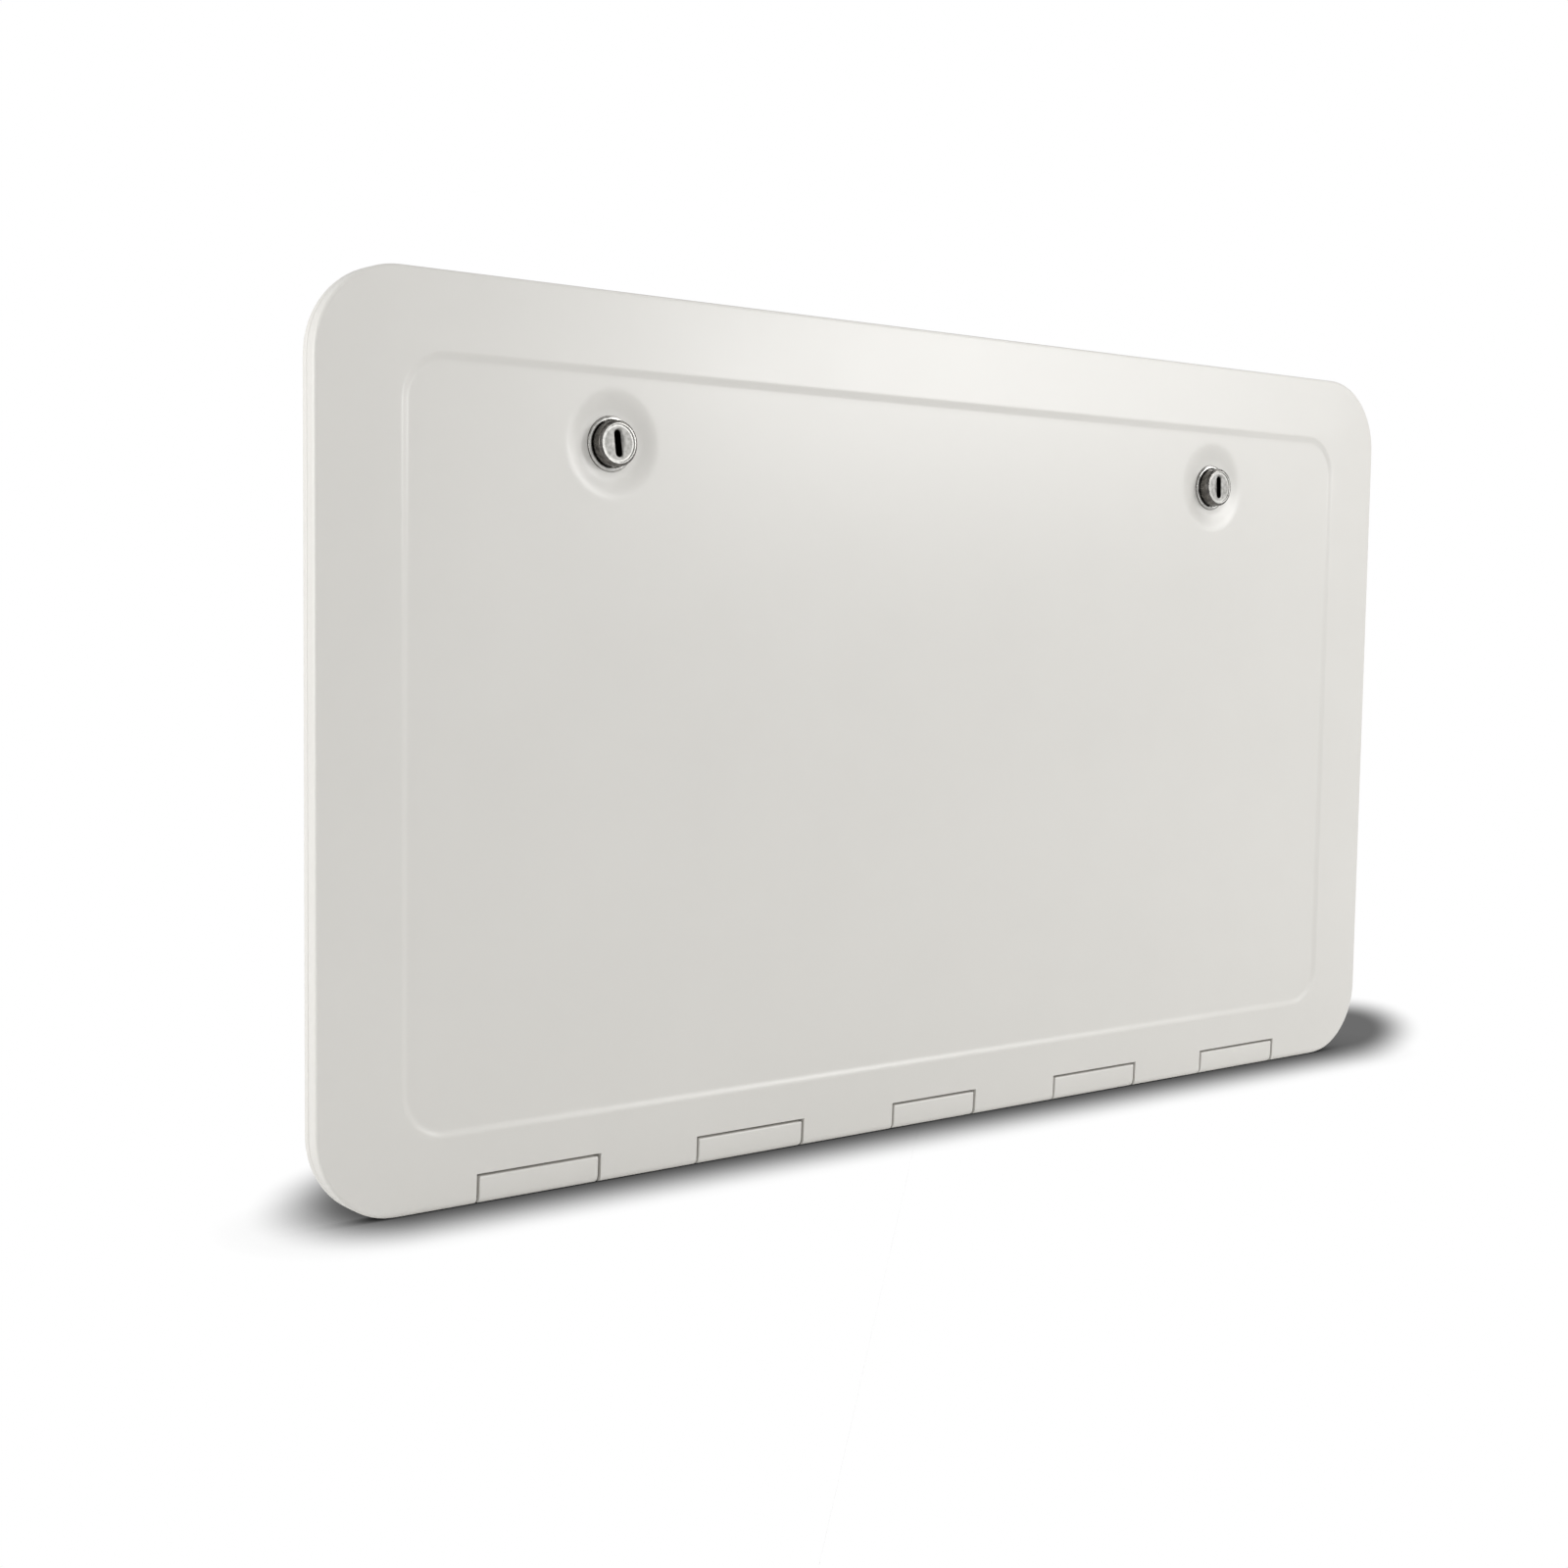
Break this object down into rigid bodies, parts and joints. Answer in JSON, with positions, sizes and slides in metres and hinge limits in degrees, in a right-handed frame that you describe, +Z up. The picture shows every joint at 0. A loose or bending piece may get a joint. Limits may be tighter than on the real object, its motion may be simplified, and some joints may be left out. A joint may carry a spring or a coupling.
{
  "type": "compartment door",
  "caption": "Flush outside locker door of a caravan: collared wall frame and an insulated leaf that folds down on lower knuckles, with cam locks near its upper edge.",
  "frame": {"origin": "on the wall's outer face (the rear face of the frame's flange), straight behind the middle of the hinge line", "axes": "+X along the door to the right as seen from outside, +Y into the wall, +Z up"},
  "size_m": [0.7, 0.0499, 0.405],
  "materials": {
    "frame_abs": "gloss",
    "skin_abs": "gloss",
    "liner_abs": "satin",
    "lock_chrome": "polished",
    "zinc_steel": "zinc plated",
    "stainless": "brushed",
    "seal_epdm": "matt"
  },
  "bodies": {
    "frame": {"frame": "frame_abs", "door_seal": "seal_epdm", "striker_left": "zinc_steel", "striker_right": "zinc_steel", "hinge_knuckle_1": "frame_abs", "hinge_knuckle_2": "frame_abs", "hinge_knuckle_3": "frame_abs", "hinge_knuckle_4": "frame_abs", "hinge_knuckle_5": "frame_abs", "hinge_pin_1": "stainless", "hinge_pin_2": "stainless", "hinge_pin_3": "stainless", "hinge_pin_4": "stainless", "hinge_pin_5": "stainless"},
    "leaf": {"door_skin": "skin_abs", "door_liner": "liner_abs", "lock_housing_left": "lock_chrome", "lock_housing_right": "lock_chrome", "lock_nut_left": "zinc_steel", "lock_nut_right": "zinc_steel"},
    "left_lock": {"lock_barrel_left": "lock_chrome", "lock_cam_left": "zinc_steel", "cam_screw_left": "zinc_steel"},
    "right_lock": {"lock_barrel_right": "lock_chrome", "lock_cam_right": "zinc_steel", "cam_screw_right": "zinc_steel"}
  },
  "joints": [
    {"name": "door_hinge", "type": "hinge", "parent": "frame", "child": "leaf", "pos_m": [0, -0.00715, 0], "axis": [1, 0, 0], "range_deg": [0, 170]},
    {"name": "left_lock_turn", "type": "hinge", "parent": "leaf", "child": "left_lock", "pos_m": [-0.204, 0, 0.33375], "axis": [0, -1, 0], "range_deg": [0, 90]},
    {"name": "right_lock_turn", "type": "hinge", "parent": "leaf", "child": "right_lock", "pos_m": [0.204, 0, 0.33375], "axis": [0, 1, 0], "range_deg": [0, 90]}
  ]
}
